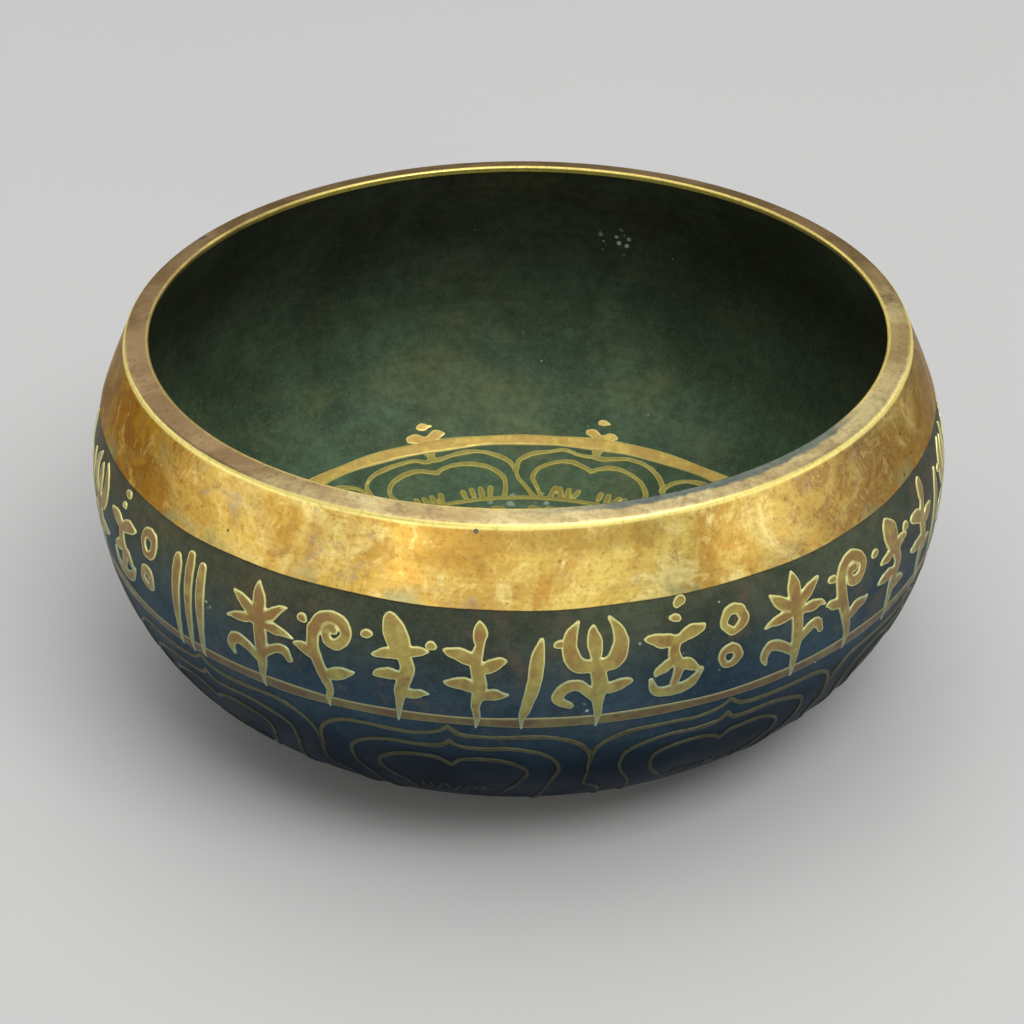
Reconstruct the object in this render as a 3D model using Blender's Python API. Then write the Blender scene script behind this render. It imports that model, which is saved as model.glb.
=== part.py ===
"""Singing bowl: one brass casting, turned inside and out, with an etched surface.

Units are metres and +Z is up. The origin is the centre of the flat base that the bowl stands on.
The bowl has a single piece and no joints, so it is one object, turned about the Z axis.
"""

import bpy
import numpy as np
from mathutils import Vector
from mathutils.geometry import interpolate_bezier

# Driving dimensions: the turned outside
BASE_RADIUS = 0.0468
BELLY_RADIUS = 0.0850
BELLY_HEIGHT = 0.0483
MOUTH_RADIUS = 0.0768
MOUTH_HEIGHT = 0.0750

# The lip: a flat top that falls slightly outwards, and a short polished edge inside it
LIP_CREST = Vector((0.0718, 0.0757))
LIP_INNER_FOOT = Vector((0.0724, 0.0743))
LIP_ROUNDING = 0.0005

# The turned inside
WALL = 0.0052
FLOOR_RADIUS = 0.0380
FLOOR_HEIGHT = 0.0060

# The walls follow Bezier curves between those places. Each handle is a (radius, height) offset from its end
MOUTH_HANDLE = Vector((0.0020, -0.0056))
BELLY_TO_MOUTH = Vector((0, 0.0101))
BELLY_TO_BASE = Vector((0, -0.0297))
BASE_HANDLE = Vector((0.0190, 0.0033))
FLOOR_HANDLE = Vector((0.0230, 0.0012))
INNER_BELLY_TO_FLOOR = Vector((0, -0.0300))
INNER_BELLY_TO_LIP = Vector((0, 0.0100))
LIP_FOOT_HANDLE = Vector((0.0025, -0.0070))

# Etching lowers the ground and leaves these bands of the turned surface standing
ETCH_DEPTH = 0.0003
RIM_BAND_FOOT = 0.0612
LINE_HEIGHT = 0.0381
LINE_WIDTH = 0.0022
FLOOR_RING_HEIGHT = 0.0134
FLOOR_RING_WIDTH = 0.0023

# How finely the shape is divided
SEGMENTS = 80
POINT_SPACING = 0.0042
CURVE_POINTS = 200
CORNER_POINTS = 4
CORNER_BEND = 0.55


def curve(start, leaving, arriving, end):
    """Dense points of a Bezier curve; leaving and arriving are the handles, as offsets from the ends."""
    return interpolate_bezier(start, start + leaving, end + arriving, end, CURVE_POINTS)


def joined(*curves):
    """Curves that follow one another, as one array of points."""
    return np.array([tuple(point)[:2] for points in curves for point in points])


def lengths(points):
    """How far along a curve each of its points is."""
    steps = np.linalg.norm(np.diff(points, axis=0), axis=1)
    return np.concatenate([[0.0], np.cumsum(steps)])


def place_of(points, height):
    """How far along a curve it reaches a height."""
    heights = points[:, 1]
    along = lengths(points)
    if heights[0] > heights[-1]:
        return np.interp(height, heights[::-1], along[::-1])
    return np.interp(height, heights, along)


def stretch(points, start, end, depth=0.0):
    """Evenly spaced points of part of a curve, sunk into the material by depth.

    The whole profile runs with its material on the right, which gives the direction to sink.
    """
    along = lengths(points)
    places = np.linspace(start, end, 2 + int((end - start) / POINT_SPACING))
    step = along[-1] / CURVE_POINTS

    def at(place):
        place = np.clip(place, 0.0, along[-1])
        return np.stack([np.interp(place, along, points[:, axis]) for axis in (0, 1)], axis=1)

    tangents = at(places + step) - at(places - step)
    tangents /= np.linalg.norm(tangents, axis=1)[:, None]
    into_material = np.stack([tangents[:, 1], -tangents[:, 0]], axis=1)
    return [Vector(point) for point in at(places) + depth * into_material]


def rounded(before, corner, after):
    """A small rounding in place of a corner between two others."""
    start = corner + (before - corner).normalized() * LIP_ROUNDING
    end = corner + (after - corner).normalized() * LIP_ROUNDING
    towards_start = (corner - start) * CORNER_BEND
    towards_end = (corner - end) * CORNER_BEND
    return [
        Vector(point[:2])
        for point in interpolate_bezier(start, start + towards_start, end + towards_end, end, CORNER_POINTS)
    ]


def inner_wall():
    """The turned inside, from the edge of the flat floor up to the lip."""
    floor_edge = Vector((FLOOR_RADIUS, FLOOR_HEIGHT))
    belly = Vector((BELLY_RADIUS - WALL, BELLY_HEIGHT))
    return joined(
        curve(floor_edge, FLOOR_HANDLE, INNER_BELLY_TO_FLOOR, belly),
        curve(belly, INNER_BELLY_TO_LIP, LIP_FOOT_HANDLE, LIP_INNER_FOOT),
    )


def outer_wall():
    """The turned outside, from the lip down to the edge of the base."""
    mouth = Vector((MOUTH_RADIUS, MOUTH_HEIGHT))
    belly = Vector((BELLY_RADIUS, BELLY_HEIGHT))
    base_edge = Vector((BASE_RADIUS, 0))
    return joined(
        curve(mouth, MOUTH_HANDLE, BELLY_TO_MOUTH, belly),
        curve(belly, BELLY_TO_BASE, BASE_HANDLE, base_edge),
    )


def inside():
    """Profile of the inside: a flat floor, the etched wall and the ring that stands on it."""
    wall = inner_wall()
    top = lengths(wall)[-1]
    ring_top = place_of(wall, FLOOR_RING_HEIGHT)
    ring_foot = ring_top - FLOOR_RING_WIDTH
    floor = Vector((0, FLOOR_HEIGHT - ETCH_DEPTH))
    return [
        floor,
        *stretch(wall, 0, ring_foot, ETCH_DEPTH),
        *stretch(wall, ring_foot, ring_top),
        *stretch(wall, ring_top, top, ETCH_DEPTH),
    ]


def lip():
    """Profile of the lip, over its crest to the corner where the rim band starts."""
    mouth = Vector((MOUTH_RADIUS, MOUTH_HEIGHT))
    return [
        LIP_INNER_FOOT.copy(),
        *rounded(LIP_INNER_FOOT, LIP_CREST, mouth),
        *rounded(LIP_CREST, mouth, mouth + MOUTH_HANDLE),
    ]


def outside():
    """Profile of the outside: the rim band, the frieze's ground, the line under it and the lower wall."""
    wall = outer_wall()
    band_foot = place_of(wall, RIM_BAND_FOOT)
    line = place_of(wall, LINE_HEIGHT)
    line_top = line - LINE_WIDTH / 2
    line_foot = line + LINE_WIDTH / 2
    base = lengths(wall)[-1]
    return [
        *stretch(wall, LIP_ROUNDING * 2, band_foot),
        *stretch(wall, band_foot, line_top, ETCH_DEPTH),
        *stretch(wall, line_top, line_foot),
        *stretch(wall, line_foot, base - LIP_ROUNDING * 2, ETCH_DEPTH),
        Vector((BASE_RADIUS - LIP_ROUNDING, 0)),
        Vector((0, 0)),
    ]


def brass():
    """Brass darkened by its patina."""
    material = bpy.data.materials.new("patinated_brass")
    material.use_nodes = True
    shader = material.node_tree.nodes["Principled BSDF"]
    shader.inputs["Base Color"].default_value = (0.13, 0.14, 0.11, 1)
    shader.inputs["Metallic"].default_value = 0.8
    shader.inputs["Roughness"].default_value = 0.45
    return material


def turned(name, profile, material):
    """An object made by turning a profile of (radius, height) points about the Z axis."""
    mesh = bpy.data.meshes.new(name)
    points = [(radius, 0, height) for radius, height in profile]
    edges = [(i, i + 1) for i in range(len(points) - 1)]
    mesh.from_pydata(points, edges, [])
    piece = bpy.data.objects.new(name, mesh)
    bpy.context.scene.collection.objects.link(piece)
    piece.data.materials.append(material)
    lathe = piece.modifiers.new("lathe", "SCREW")
    lathe.axis = "Z"
    lathe.steps = SEGMENTS
    lathe.render_steps = SEGMENTS
    lathe.use_merge_vertices = True
    lathe.merge_threshold = 0.00001
    lathe.use_smooth_shade = True
    return piece


def main():
    for leftover in list(bpy.data.objects):
        bpy.data.objects.remove(leftover, do_unlink=True)
    turned("bowl", inside() + lip() + outside(), brass())


main()
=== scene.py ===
"""Looks of the singing bowl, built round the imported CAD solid.

The CAD node is the whole bowl. Here it is replaced by pieces that follow the same turned curves:
the etched and darkened shell, the polished rim, and the ornament that the etching left standing
(the frieze, the line under it, the lotus petals of the lower wall, and the ring and flower of the
floor). Lengths are in metres except in the drawings, which are in millimetres on the flat.
"""

import math

import bpy
import numpy as np
from mathutils import Matrix, Vector
from mathutils.geometry import delaunay_2d_cdt, interpolate_bezier


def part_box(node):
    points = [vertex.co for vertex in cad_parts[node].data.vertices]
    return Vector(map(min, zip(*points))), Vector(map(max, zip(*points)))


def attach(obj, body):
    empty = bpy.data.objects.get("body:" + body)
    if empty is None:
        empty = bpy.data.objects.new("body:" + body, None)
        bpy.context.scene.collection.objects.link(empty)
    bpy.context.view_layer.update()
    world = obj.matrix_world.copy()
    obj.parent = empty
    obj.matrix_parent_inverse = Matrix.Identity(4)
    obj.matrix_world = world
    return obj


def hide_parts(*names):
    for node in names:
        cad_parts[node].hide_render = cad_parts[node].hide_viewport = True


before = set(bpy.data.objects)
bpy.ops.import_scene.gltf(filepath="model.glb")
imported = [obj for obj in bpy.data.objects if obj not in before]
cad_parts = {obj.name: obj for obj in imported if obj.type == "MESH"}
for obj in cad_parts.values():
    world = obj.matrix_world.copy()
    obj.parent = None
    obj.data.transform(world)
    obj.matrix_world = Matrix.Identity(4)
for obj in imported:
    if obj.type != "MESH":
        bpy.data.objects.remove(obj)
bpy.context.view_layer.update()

MM = 0.001
TURN = 2 * math.pi

# ---- the turned shape

lowest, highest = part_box("bowl")
ETCH_DEPTH = 0.0003
BELLY_RADIUS = (highest.x - lowest.x) / 2 + ETCH_DEPTH
BELLY_HEIGHT = 0.0483
BASE_RADIUS = 0.0468
MOUTH = Vector((0.0768, 0.0750))
LIP_CREST = Vector((0.0718, 0.0757))
LIP_FOOT = Vector((0.0724, 0.0743))
FLOOR_EDGE = Vector((0.0380, 0.0060))
WALL = 0.0052
BAND_FOOT_HEIGHT = 0.0612
LINE_HEIGHT = 0.0381
FLOOR_RING_HEIGHT = 0.0134

SEGMENTS = 384
SEGMENT_ANGLES = np.arange(SEGMENTS) * TURN / SEGMENTS
SHARP_ANGLE = math.radians(40)


class Wall:
    """A turned surface: a curve of (radius, height) points with the metal on its right."""

    def __init__(self, *curves):
        points = np.array([tuple(point)[:2] for curve in curves for point in curve])
        # Where two curves meet, their shared point is kept once.
        steps = np.linalg.norm(np.diff(points, axis=0), axis=1)
        self.points = points[np.concatenate([[True], steps > 1e-6])]
        steps = np.linalg.norm(np.diff(self.points, axis=0), axis=1)
        self.along = np.concatenate([[0.0], np.cumsum(steps)])
        self.length = self.along[-1]
        tangents = np.gradient(self.points, self.along, axis=0)
        tangents /= np.linalg.norm(tangents, axis=1)[:, None]
        self.outward = np.stack([-tangents[:, 1], tangents[:, 0]], axis=1)

    def at_height(self, height):
        """How far along the wall it reaches a height."""
        heights = self.points[:, 1]
        order = slice(None) if heights[0] < heights[-1] else slice(None, None, -1)
        return float(np.interp(height, heights[order], self.along[order]))

    def place(self, along, lift=0.0):
        """Radius and height at distances along the wall, lifted off the metal."""
        base = [np.interp(along, self.along, self.points[:, axis]) for axis in (0, 1)]
        normal = [np.interp(along, self.along, self.outward[:, axis]) for axis in (0, 1)]
        return base[0] + lift * normal[0], base[1] + lift * normal[1]


def bezier(start, leaving, arriving, end, count=160):
    """A Bezier curve whose handles are offsets from its ends."""
    return interpolate_bezier(start, start + Vector(leaving), end + Vector(arriving), end, count)


belly = Vector((BELLY_RADIUS, BELLY_HEIGHT))
inner_belly = belly - Vector((WALL, 0))
base_edge = Vector((BASE_RADIUS, 0))
inner = Wall(
    [Vector((radius * MM, FLOOR_EDGE.y)) for radius in range(38)],
    bezier(FLOOR_EDGE, (0.0230, 0.0012), (0, -0.0300), inner_belly),
    bezier(inner_belly, (0, 0.0100), (0.0025, -0.0070), LIP_FOOT),
)
outer = Wall(
    bezier(MOUTH, (0.0020, -0.0056), (0, 0.0101), belly),
    bezier(belly, (0, -0.0297), (0.0190, 0.0033), base_edge),
    [Vector((radius * MM, 0)) for radius in range(46, -1, -1)],
)


def on_bowl(angle, radius, height):
    """Points of the bowl. The angle is 0 at the front, -Y, and grows to the right as seen from there."""
    return np.stack([radius * np.sin(angle), -radius * np.cos(angle), height + 0 * angle], axis=-1)


def new_piece(name, points, faces, material):
    """A mesh piece that rides on the bowl's one body and stands for part of the CAD node."""
    mesh = bpy.data.meshes.new(name)
    mesh.from_pydata(np.asarray(points).tolist(), [], faces)
    mesh.validate()
    piece = bpy.data.objects.new(name, mesh)
    bpy.context.scene.collection.objects.link(piece)
    mesh.materials.append(material)
    mesh.shade_smooth()
    mesh.set_sharp_from_angle(angle=SHARP_ANGLE)
    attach(piece, "root")
    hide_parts("bowl")
    return piece


def turned(name, radius, height, material, closed):
    """A lathe-turned piece, from a row of radii and heights for each point of its section.

    A row holds one value for each segment, or one value for all of them.
    """
    rows, columns = len(radius), SEGMENTS
    points = on_bowl(SEGMENT_ANGLES, radius, height)
    faces = []
    for row in range(rows if closed else rows - 1):
        below = (row + 1) % rows
        for column in range(columns):
            right = (column + 1) % columns
            faces.append((row * columns + column, row * columns + right,
                          below * columns + right, below * columns + column))
    if not closed:
        faces.append(tuple(range(columns))[::-1])
        faces.append(tuple((rows - 1) * columns + column for column in range(columns)))
    return new_piece(name, points.reshape(-1, 3), faces, material)


def keep_depth(piece, depth):
    """Stores how deep inside its stroke each point of a drawn piece is, in millimetres, for its material."""
    depths = piece.data.attributes.new("stroke_depth", "FLOAT", "POINT")
    depths.data.foreach_set("value", depth.astype(np.float32))


# ---- brush strokes as raised metal

# Of the drawings, in millimetres: the grid, how far out of a stroke its distance is kept, the depths inside
# it that get points of their own, the width of its rounded edge and the least half width of its tips
GRID = 0.24
COARSE_GRID = 0.29
REACH = 1.6
BROAD_LEVELS = (0.0, -0.1, -0.3, -0.6)
THIN_LEVELS = (0.0, -0.12, -0.36)
RELIEF_ROUNDING = 0.22
SMALLEST_HALF_WIDTH = 0.05
# Of the raised metal, in metres: over the etched ground, and sunk into it
RELIEF_HEIGHT = 0.00024
RELIEF_SUNK = 0.00012


def smooth_path(points, spacing=0.12):
    """Points evenly spaced along a Catmull-Rom curve through (x, y, half width) points."""
    points = np.array(points, float)
    padded = np.vstack([2 * points[0] - points[1], points, 2 * points[-1] - points[-2]])
    samples = []
    for before, start, end, after in zip(padded, padded[1:], padded[2:], padded[3:]):
        count = max(2, int(np.hypot(*(end - start)[:2]) / spacing))
        t = np.linspace(0, 1, count, endpoint=False)[:, None]
        samples.append(0.5 * (2 * start + (end - before) * t
                              + (2 * before - 5 * start + 4 * end - after) * t ** 2
                              + (3 * start - before - 3 * end + after) * t ** 3))
    samples.append(points[-1:])
    samples = np.vstack(samples)
    samples[:, 2] = np.maximum(samples[:, 2], SMALLEST_HALF_WIDTH)
    return samples


class Drawing:
    """Brush strokes on the flat, kept as the distance to their outline, negative inside them."""

    def __init__(self, left, top, right, bottom, grid=GRID):
        self.grid = grid
        self.origin = np.array([left, top], float)
        columns = int(math.ceil((right - left) / grid)) + 1
        rows = int(math.ceil((bottom - top) / grid)) + 1
        self.distance = np.full((rows, columns), REACH)
        self.x = left + np.arange(columns) * grid
        self.y = top + np.arange(rows) * grid

    def stroke(self, points):
        for x, y, half_width in smooth_path(points):
            reach = (half_width + REACH) / self.grid
            middle = (np.array([x, y]) - self.origin) / self.grid
            first = np.maximum(middle - reach, 0).astype(int)
            last = np.maximum(middle + reach + 2, 0).astype(int)
            across, down = slice(first[0], last[0]), slice(first[1], last[1])
            away = np.hypot(self.x[None, across] - x, self.y[down, None] - y) - half_width
            self.distance[down, across] = np.minimum(self.distance[down, across], away)

    def soften(self, times=2):
        """Rounds the corners where strokes meet, as paint does."""
        for _ in range(times):
            wide = np.pad(self.distance, 1, mode="edge")
            self.distance = (4 * wide[1:-1, 1:-1] + wide[:-2, 1:-1] + wide[2:, 1:-1]
                             + wide[1:-1, :-2] + wide[1:-1, 2:]) / 8

    def waver(self, amount, phase):
        """An unsteady brush: the outline wanders in and out."""
        x, y = np.meshgrid(self.x, self.y)
        self.distance = self.distance + amount * (
            np.sin(1.9 * x + 0.7 * y + phase) * np.sin(1.3 * y - 0.9 * x + 2 * phase)
            + 0.5 * np.sin(4.1 * x - 2.3 * y + 3 * phase) * np.sin(3.7 * y + 1.7 * x + phase)
        )

    def sample(self, points):
        """Distance at any points, between the grid's."""
        last = np.array(self.distance.shape[::-1]) - 1.001
        places = np.clip((points[:, :2] - self.origin) / self.grid, 0, last)
        left, top = places.astype(int).T
        a, b = places.T - (left, top)
        d = self.distance
        return ((1 - a) * (1 - b) * d[top, left] + a * (1 - b) * d[top, left + 1]
                + (1 - a) * b * d[top + 1, left] + a * b * d[top + 1, left + 1])

    def contour(self, level):
        """Points where the distance crosses a level, and the segments that join them."""
        d = self.distance - level
        crossings, indices, count = [], [], 0
        for axis in (1, 0):
            first, second = (d[:, :-1], d[:, 1:]) if axis else (d[:-1], d[1:])
            crossed = (first < 0) != (second < 0)
            row, column = np.nonzero(crossed)
            part = np.clip(first[crossed] / (first[crossed] - second[crossed]), 0.02, 0.98)
            place = np.stack([column + axis * part, row + (1 - axis) * part], axis=1)
            crossings.append(self.origin + self.grid * place)
            index = np.full(crossed.shape, -1)
            index[crossed] = count + np.arange(len(row))
            indices.append(index)
            count += len(row)
        across, down = indices
        sides = np.stack([across[:-1], across[1:], down[:, :-1], down[:, 1:]], axis=-1).reshape(-1, 4)
        found = (sides >= 0).sum(axis=1)
        pairs = [np.sort(sides[found == 2], axis=1)[:, 2:]]
        middle = (d[:-1, :-1] + d[1:, :-1] + d[:-1, 1:] + d[1:, 1:]).reshape(-1) < 0
        corner = d[:-1, :-1].reshape(-1) < 0
        saddle = found == 4
        joined = saddle & (middle == corner)
        parted = saddle & (middle != corner)
        pairs += [sides[joined][:, [0, 3]], sides[joined][:, [1, 2]]]
        pairs += [sides[parted][:, [0, 2]], sides[parted][:, [1, 3]]]
        return np.vstack(crossings), np.vstack(pairs)


def triangles_inside(drawing, levels):
    """Triangles that fill the strokes, with points along each level's contour."""
    points, segments, start = [], [], 0
    for level in levels:
        if drawing.distance.min() >= level:
            continue
        found, pairs = drawing.contour(level)
        points.append(found)
        segments.append(pairs + start)
        start += len(found)
    points = np.vstack(points)
    segments = np.vstack(segments).tolist()
    made = delaunay_2d_cdt([Vector(point) for point in points.tolist()], segments, [], 0, 1e-5)
    flat = np.array([tuple(point) for point in made[0]])
    faces = np.array(made[2])
    middles = flat[faces].mean(axis=1)
    return flat, faces[drawing.sample(middles) < 0]


def edges_of(faces, count):
    """Edges of triangles over count points, with each edge's key and the key of the edge the other way."""
    ends = np.concatenate([faces[:, [0, 1]], faces[:, [1, 2]], faces[:, [2, 0]]])
    return ends, ends @ (count, 1), ends @ (1, count)


def bounded_by(faces, edges, count):
    """Whether triangles over count points are open at just these edges, each run along the same way."""
    _, keys, reversed_keys = edges_of(faces, count)
    open_keys = np.sort(keys[~np.isin(keys, reversed_keys)])
    unrepeated = len(np.unique(keys)) == len(keys)
    return unrepeated and np.array_equal(open_keys, np.sort(edges @ (count, 1)))


class Relief:
    """Gathers drawings laid on the bowl as raised, closed solids, and makes them one piece."""

    def __init__(self, levels):
        self.levels = levels
        self.points, self.faces, self.depths, self.count = [], [], [], 0

    def add(self, drawing, lay):
        """lay turns flat points and a lift off the etched ground into points of the bowl."""
        flat, faces = triangles_inside(drawing, self.levels)
        used, faces = np.unique(faces, return_inverse=True)
        flat, faces = flat[used], faces.reshape(-1, 3)
        depth = np.clip(-drawing.sample(flat), 0, None)
        rise = np.clip(depth / RELIEF_ROUNDING, 0, 1)
        lift = RELIEF_HEIGHT * np.sqrt(np.clip(1 - (1 - rise) ** 2, 0, 1))
        # The outline's points are where a triangle's edge has no other triangle beside it.
        ends, keys, reversed_keys = edges_of(faces, len(flat))
        open_ends = ends[~np.isin(keys, reversed_keys)]
        outline, ends = np.unique(open_ends, return_inverse=True)
        ends = ends.reshape(-1, 2)
        corners = [Vector(point) for point in flat[outline].tolist()]
        filled = delaunay_2d_cdt(corners, ends.tolist(), [], 0, 1e-7)
        source = np.array([sources[0] for sources in filled[3]])
        below = source[np.array(filled[2])]
        # A triangle beside the outline is inside if it runs along it the same way as the top's triangles.
        outline_keys = ends @ (len(outline), 1)
        around = np.roll(below, -1, axis=1)
        with_outline = np.isin(below * len(outline) + around, outline_keys).any(axis=1)
        against_outline = np.isin(around * len(outline) + below, outline_keys).any(axis=1)
        in_stroke = drawing.sample(flat[outline][below].mean(axis=1)) < 0
        below = below[with_outline | (in_stroke & ~against_outline)]
        if not bounded_by(below, ends, len(outline)):
            outline = np.arange(len(flat))
            below, ends = faces, open_ends
        first = self.count + len(flat)
        sides = np.hstack([open_ends[:, ::-1] + self.count, ends + first])
        self.points += [lay(flat, lift), lay(flat[outline], np.full(len(outline), -RELIEF_SUNK))]
        self.faces += [*(faces + self.count).tolist(), *(below[:, ::-1] + first).tolist(), *sides.tolist()]
        self.depths += [depth, np.zeros(len(outline))]
        self.count = first + len(outline)

    def piece(self, name, material):
        made = new_piece(name, np.vstack(self.points), self.faces, material)
        keep_depth(made, np.concatenate(self.depths))
        return made


# ---- materials


class Value:
    """What a node gives out. Arithmetic on it adds math nodes."""

    def __init__(self, look, socket):
        self.look, self.socket = look, socket

    def __add__(self, other):
        return self.look.math("ADD", self, other)

    def __sub__(self, other):
        return self.look.math("SUBTRACT", self, other)

    def __mul__(self, other):
        return self.look.math("MULTIPLY", self, other)

    def __or__(self, other):
        """The greater of two shares."""
        return self.look.math("MAXIMUM", self, other)

    def __abs__(self):
        return self.look.math("ABSOLUTE", self)

    def ramp(self, low, high, to_low=0.0, to_high=1.0):
        """Maps low..high to to_low..to_high, smoothly and clamped."""
        inputs = {"Value": self, "From Min": low, "From Max": high, "To Min": to_low, "To Max": to_high}
        return self.look.node("ShaderNodeMapRange", "Result", inputs, interpolation_type="SMOOTHSTEP")


class Look:
    """A Principled material and short ways to add the nodes that feed it."""

    def __init__(self, name):
        self.material = bpy.data.materials.new(name)
        self.material.use_nodes = True
        self.tree = self.material.node_tree
        self.place = self.node("ShaderNodeTexCoord", "Object")
        parts = [self.node("ShaderNodeSeparateXYZ", axis, {0: self.place}) for axis in range(3)]
        self.x, self.y, self.z = parts
        self.radius = self.math("SQRT", self.x * self.x + self.y * self.y)

    def link(self, value, socket):
        if isinstance(value, Value):
            self.tree.links.new(value.socket, socket)
        elif isinstance(value, tuple) and socket.type == "RGBA":
            socket.default_value = (*value, 1)
        else:
            socket.default_value = value

    def node(self, kind, output, inputs=(), **settings):
        node = self.tree.nodes.new(kind)
        for key, value in settings.items():
            setattr(node, key, value)
        for key, value in dict(inputs).items():
            self.link(value, node.inputs[key])
        return Value(self, node.outputs[output])

    def math(self, operation, *values):
        return self.node("ShaderNodeMath", 0, enumerate(values), operation=operation)

    def scaled(self, scale):
        """The object's coordinates, scaled by a different amount each way."""
        return self.node("ShaderNodeMapping", 0, {"Vector": self.place, "Scale": scale})

    def noise(self, scale, detail=4.0, roughness=0.5, distortion=0.0, place=None):
        inputs = {"Vector": place or self.place, "Scale": scale, "Detail": detail,
                  "Roughness": roughness, "Distortion": distortion}
        return self.node("ShaderNodeTexNoise", "Fac", inputs)

    def turning(self, scale):
        """Fine rings left by the lathe: noise that hardly changes round the bowl."""
        across = (self.radius + self.z * 0.83) * scale
        place = self.node("ShaderNodeCombineXYZ", 0, {0: self.x * 4.0, 1: self.y * 4.0, 2: across})
        return self.noise(1.0, 3.0, place=place)

    def cells(self, scale):
        """Distance to the nearest of many scattered points."""
        return self.node("ShaderNodeTexVoronoi", "Distance", {"Vector": self.place, "Scale": scale})

    def distance_to(self, place, squeeze=(1.0, 1.0, 1.0)):
        """Distance to a place, measured in coordinates scaled by squeeze."""
        inputs = {0: self.scaled(squeeze), 1: Vector(place) * Vector(squeeze)}
        return self.node("ShaderNodeVectorMath", "Value", inputs, operation="DISTANCE")

    def mix(self, share, under, over, blend="MIX"):
        inputs = {0: share, 6: under, 7: over}
        return self.node("ShaderNodeMix", 2, inputs, data_type="RGBA", blend_type=blend)

    def layers(self, colour, *paints):
        """Puts (share, colour) paints over a colour, in turn. A third item names a paint's blend mode."""
        for paint in paints:
            colour = self.mix(paint[0], colour, *paint[1:])
        return colour

    def bump(self, height, distance, normal=None):
        inputs = {"Height": height, "Distance": distance, "Strength": 1.0}
        if normal:
            inputs["Normal"] = normal
        return self.node("ShaderNodeBump", 0, inputs)

    def finish(self, **inputs):
        """Feeds the shader. Inputs are named as the shader names them, with _ for each space."""
        for name, value in inputs.items():
            self.link(value, self.tree.nodes["Principled BSDF"].inputs[name.replace("_", " ")])
        return self.material


def shade(colour, factor):
    return tuple(factor * part for part in colour)


PIT = (0.05, 0.03, 0.015)


def patina(name, dark, light, brown, brown_share, painted_shading, spots, rust=()):
    """The etched ground: brass darkened to a green grey, clouded with brown, with a few specks.

    painted_shading holds (bottom, top, factor): painted light and shade by height, the colours multiplied by
    the factor below the bottom height.
    rust holds (bottom, top, colour): patches of the colour, strongest above the top height.
    """
    look = Look(name)
    clouds = look.noise(30.0, 8.0, 0.62, 0.5)
    warm = look.noise(24.0, 8.0, 0.7, 0.3, look.scaled((1.0, 1.0, 1.7)))
    patches = look.noise(42.0, 8.0, 0.72, 0.6).ramp(0.50, 0.64, 0.0, 0.75)
    fine = look.noise(420.0, 5.0, 0.7)
    rings = look.turning(2600.0)
    specks = look.cells(170.0).ramp(0.06, 0.03) * look.noise(17.0, 1.0).ramp(0.61, 0.66)
    colour = look.layers(
        look.mix(clouds.ramp(0.34, 0.68), dark, light),
        (warm.ramp(0.50, 0.68, 0.0, brown_share), brown),
        (fine.ramp(0.35, 0.66, 0.0, 0.4), shade(dark, 0.45)),
        (look.noise(1500.0, 2.0).ramp(0.48, 0.76, 0.0, 0.25), shade(light, 1.4)),
        (rings.ramp(0.35, 0.7, 0.0, 0.16), shade(dark, 0.5)),
        # Painted light and shade by height.
        *((look.z.ramp(top, bottom), factor, "MULTIPLY") for bottom, top, factor in painted_shading),
        *((patches * look.z.ramp(bottom, top), rusty) for bottom, top, rusty in rust),
        (specks, (0.24, 0.30, 0.24)),
    )
    for place, reach, density in spots:
        near = (warm * reach + look.distance_to(place)).ramp(1.6 * reach, 1.2 * reach)
        crust = (fine * 0.3 + look.cells(density)).ramp(0.46, 0.36)
        colour = look.mix(near * crust, colour, (0.28, 0.36, 0.28))
    # The bluish specular tint is a painted reflection of blue surroundings.
    return look.finish(
        Base_Color=colour, Roughness=look.noise(70.0, 6.0).ramp(0.3, 0.72, 0.42, 0.6), Metallic=0.05,
        Specular_IOR_Level=0.08, Specular_Tint=(0.40, 0.50, 0.62),
        Normal=look.bump(fine, 0.00002, look.bump(rings, 0.000008)),
    )


def stroke_brass(name, edge, body, stain, stain_share, metallic=0.3, shaded_low_edge=(), painted_shading=(), specular=0.5):
    """The drawn ornament: ochre brass, stained along its middle, with a painted highlight along its outline
    where the etched edge catches light.

    shaded_low_edge holds (bottom, top, colour): painted shade on the edge highlight, which has that colour
    below the bottom height.
    painted_shading holds (bottom, top, factor): painted light and shade by height, the colours multiplied by
    the factor below the bottom height.
    """
    look = Look(name)
    depth = look.node("ShaderNodeAttribute", "Fac", attribute_name="stroke_depth")
    blotches = look.noise(150.0, 7.0, 0.66, 0.5)
    stained = (blotches + look.noise(22.0, 3.0) * 0.5).ramp(0.66, 0.86, 0.0, stain_share)
    pits = look.cells(420.0).ramp(0.12, 0.06, 0.0, 0.7) * blotches.ramp(0.52, 0.6)
    # Painted shade: lower down, the edge highlight takes a dimmer colour.
    for bottom, top, cool in shaded_low_edge:
        edge = look.mix(look.z.ramp(top, bottom), edge, cool)
    colour = look.layers(
        look.mix(look.noise(600.0, 4.0, 0.6).ramp(0.36, 0.66, 0.0, 0.6), body, shade(body, 0.62)),
        (stained * (depth.ramp(0.3, 0.6) * 0.65 + 0.35), stain),
        # Painted highlight: the outline, where the etched edge catches light, takes the edge colour.
        (depth.ramp(0.13, 0.40, 0.8, 0.0), edge),
        (pits, PIT),
        *((look.z.ramp(top, bottom), factor, "MULTIPLY") for bottom, top, factor in painted_shading),
    )
    return look.finish(
        Base_Color=colour, Roughness=look.noise(300.0, 4.0).ramp(0.3, 0.7, 0.36, 0.54), Metallic=metallic,
        Specular_IOR_Level=specular, Normal=look.bump(look.noise(1500.0, 2.0), 0.000012),
    )


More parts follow.
